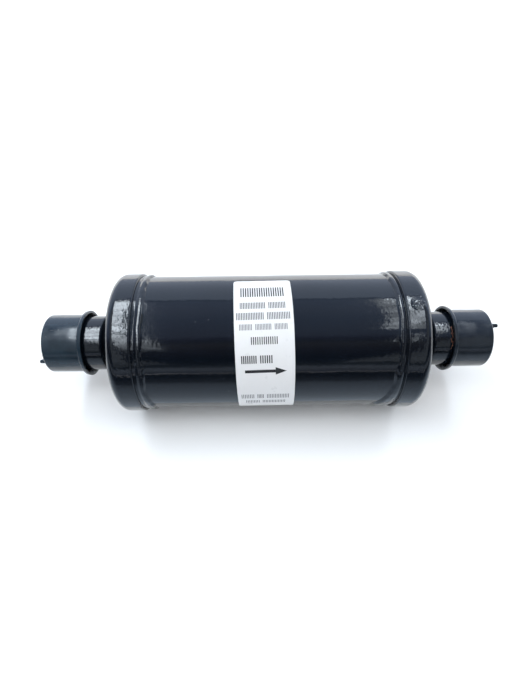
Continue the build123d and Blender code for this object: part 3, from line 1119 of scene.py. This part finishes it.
def printed_marks():
    """Rows of upright marks, and the flow arrow."""
    bm = bmesh.new()
    shapes = [(ARROW, 0)]
    for left, right, low, high, mark, spacing, ink, groups in PRINT_ROWS:
        marks = hatched_row(left, right, low, high, mark, spacing, groups)
        shapes += [(corners, ink) for corners in marks]
    for corners, ink in shapes:
        face = bm.faces.new([bm.verts.new((x * MM, y * MM, 0)) for x, y in corners])
        face.material_index = ink
    return rolled_on(bm, INK_THICKNESS, LABEL_TOP_R)


def vinyl(name, pale, shaded, dullest, glossiest):
    """Slightly glossy printed or bare vinyl."""
    material, tree, sockets = new_finish(name)
    patches = effect(tree, MOTTLE, Patch_size=4 * MM, Contrast=1.2)["Mask"]
    surface = effect(tree, ORANGE_PEEL, Peel_size=0.5 * MM, Peel_depth=0.002 * MM, Wave_depth=0.02 * MM)
    tree.links.new(blend_colours(tree, patches, shaded, pale), sockets["Base Color"])
    tree.links.new(between(tree, patches, 0, 1, dullest, glossiest), sockets["Roughness"])
    tree.links.new(surface["Normal"], sockets["Normal"])
    return material


WHITE_VINYL = vinyl("white_vinyl", (0.745, 0.740, 0.740), (0.715, 0.710, 0.710), 0.35, 0.25)
INKS = [
    vinyl("black_ink", (0.020, 0.020, 0.022), (0.012, 0.012, 0.014), 0.45, 0.35),
    vinyl("grey_ink", (0.060, 0.060, 0.063), (0.040, 0.040, 0.042), 0.47, 0.37),
    vinyl("pale_ink", (0.16, 0.16, 0.165), (0.12, 0.12, 0.125), 0.47, 0.37),
]
piece("shell_sticker", sticker(), [WHITE_VINYL], "drier", "sticker", "product_label")
piece("sticker_print", printed_marks(), INKS, "drier", "sticker")

# %% [markdown]
# The pieces inside keep their CAD shapes, and only need finishes: a pressed and baked drying
# block, felt, a polyester mat, woven wire, a zinc plated support and a steel spring.

# %% Finishes for the inner pieces
GRAIN_GLOSS = 0.08
WIRE_PITCH = 0.4 * MM
WIRE_LIFT = 0.08 * MM
# Colours of the painted shade in the weave's hollows and the painted light on its crossings
WIRE_SHADED_HOLLOW = (0.12, 0.12, 0.13)
WIRE_LIT_CROSSING = (0.55, 0.56, 0.58)
WIRE_ROUGHNESS = (0.5, 0.3)


def grainy(name, pale, deep, grain, depth, roughness, metallic=0.0):
    """A material whose colour, gloss and surface follow one grain."""
    material, tree, sockets = new_finish(name, Metallic=metallic)
    patches = effect(tree, MOTTLE, Patch_size=grain, Contrast=2.0)["Mask"]
    surface = effect(tree, ORANGE_PEEL, Peel_size=grain, Peel_depth=depth, Wave_depth=depth)
    tree.links.new(blend_colours(tree, patches, deep, pale), sockets["Base Color"])
    rough = between(tree, patches, 0, 1, roughness + GRAIN_GLOSS, roughness - GRAIN_GLOSS)
    tree.links.new(rough, sockets["Roughness"])
    tree.links.new(surface["Normal"], sockets["Normal"])
    return material


def woven_wire():
    """Fine steel gauze: wires that cross over and under each other, with painted shade and light."""
    material, tree, sockets = new_finish("woven_wire", Metallic=1.0)
    place = add(tree, "TexCoord").outputs["Object"]
    way = add(tree, "SeparateXYZ", {0: place}).outputs
    wires = [calc(tree, "SINE", calc(tree, "MULTIPLY", way[axis], math.pi / WIRE_PITCH)) for axis in "YZ"]
    lift = calc(tree, "MULTIPLY", *wires)
    bump = add(tree, "Bump", {"Strength": 1.0, "Distance": WIRE_LIFT, "Height": lift})
    # Painted shade and light: the colour darkens where the weave sinks and pales where the wires rise.
    shade = between(tree, lift, -1, 1)
    tree.links.new(blend_colours(tree, shade, WIRE_SHADED_HOLLOW, WIRE_LIT_CROSSING), sockets["Base Color"])
    tree.links.new(between(tree, shade, 0, 1, *WIRE_ROUGHNESS), sockets["Roughness"])
    tree.links.new(bump.outputs["Normal"], sockets["Normal"])
    return material


# Name of the finish, pale colour, deep colour, grain, depth, roughness, metallic
GRAINS = {
    "desiccant_core": ("baked_desiccant", (0.72, 0.62, 0.47), (0.52, 0.42, 0.30), 1.4 * MM, 0.12 * MM, 0.85),
    "inlet_felt": ("wool_felt", (0.62, 0.60, 0.55), (0.42, 0.40, 0.36), 0.6 * MM, 0.10 * MM, 0.9),
    "core_seal": ("seal_felt", (0.60, 0.58, 0.53), (0.40, 0.38, 0.34), 0.6 * MM, 0.10 * MM, 0.9),
    "filter_mat": ("polyester_mat", (0.82, 0.83, 0.84), (0.60, 0.62, 0.64), 0.8 * MM, 0.20 * MM, 0.8),
    "outlet_plate": ("zinc_plated", (0.62, 0.64, 0.66), (0.42, 0.44, 0.46), 3.0 * MM, 0.01 * MM, 0.35, 1.0),
    "spring_plate": ("pressed_steel", (0.58, 0.60, 0.62), (0.40, 0.42, 0.44), 3.0 * MM, 0.01 * MM, 0.38, 1.0),
    "core_spring": ("spring_wire", (0.34, 0.34, 0.35), (0.20, 0.20, 0.21), 1.0 * MM, 0.01 * MM, 0.35, 1.0),
}
INNER_FINISHES = {node_name: grainy(*grain) for node_name, grain in GRAINS.items()}
INNER_FINISHES["outlet_mesh"] = woven_wire()

for node_name, finish in INNER_FINISHES.items():
    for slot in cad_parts[node_name].material_slots:
        slot.material = finish
print("finished", len(INNER_FINISHES), "inner pieces")
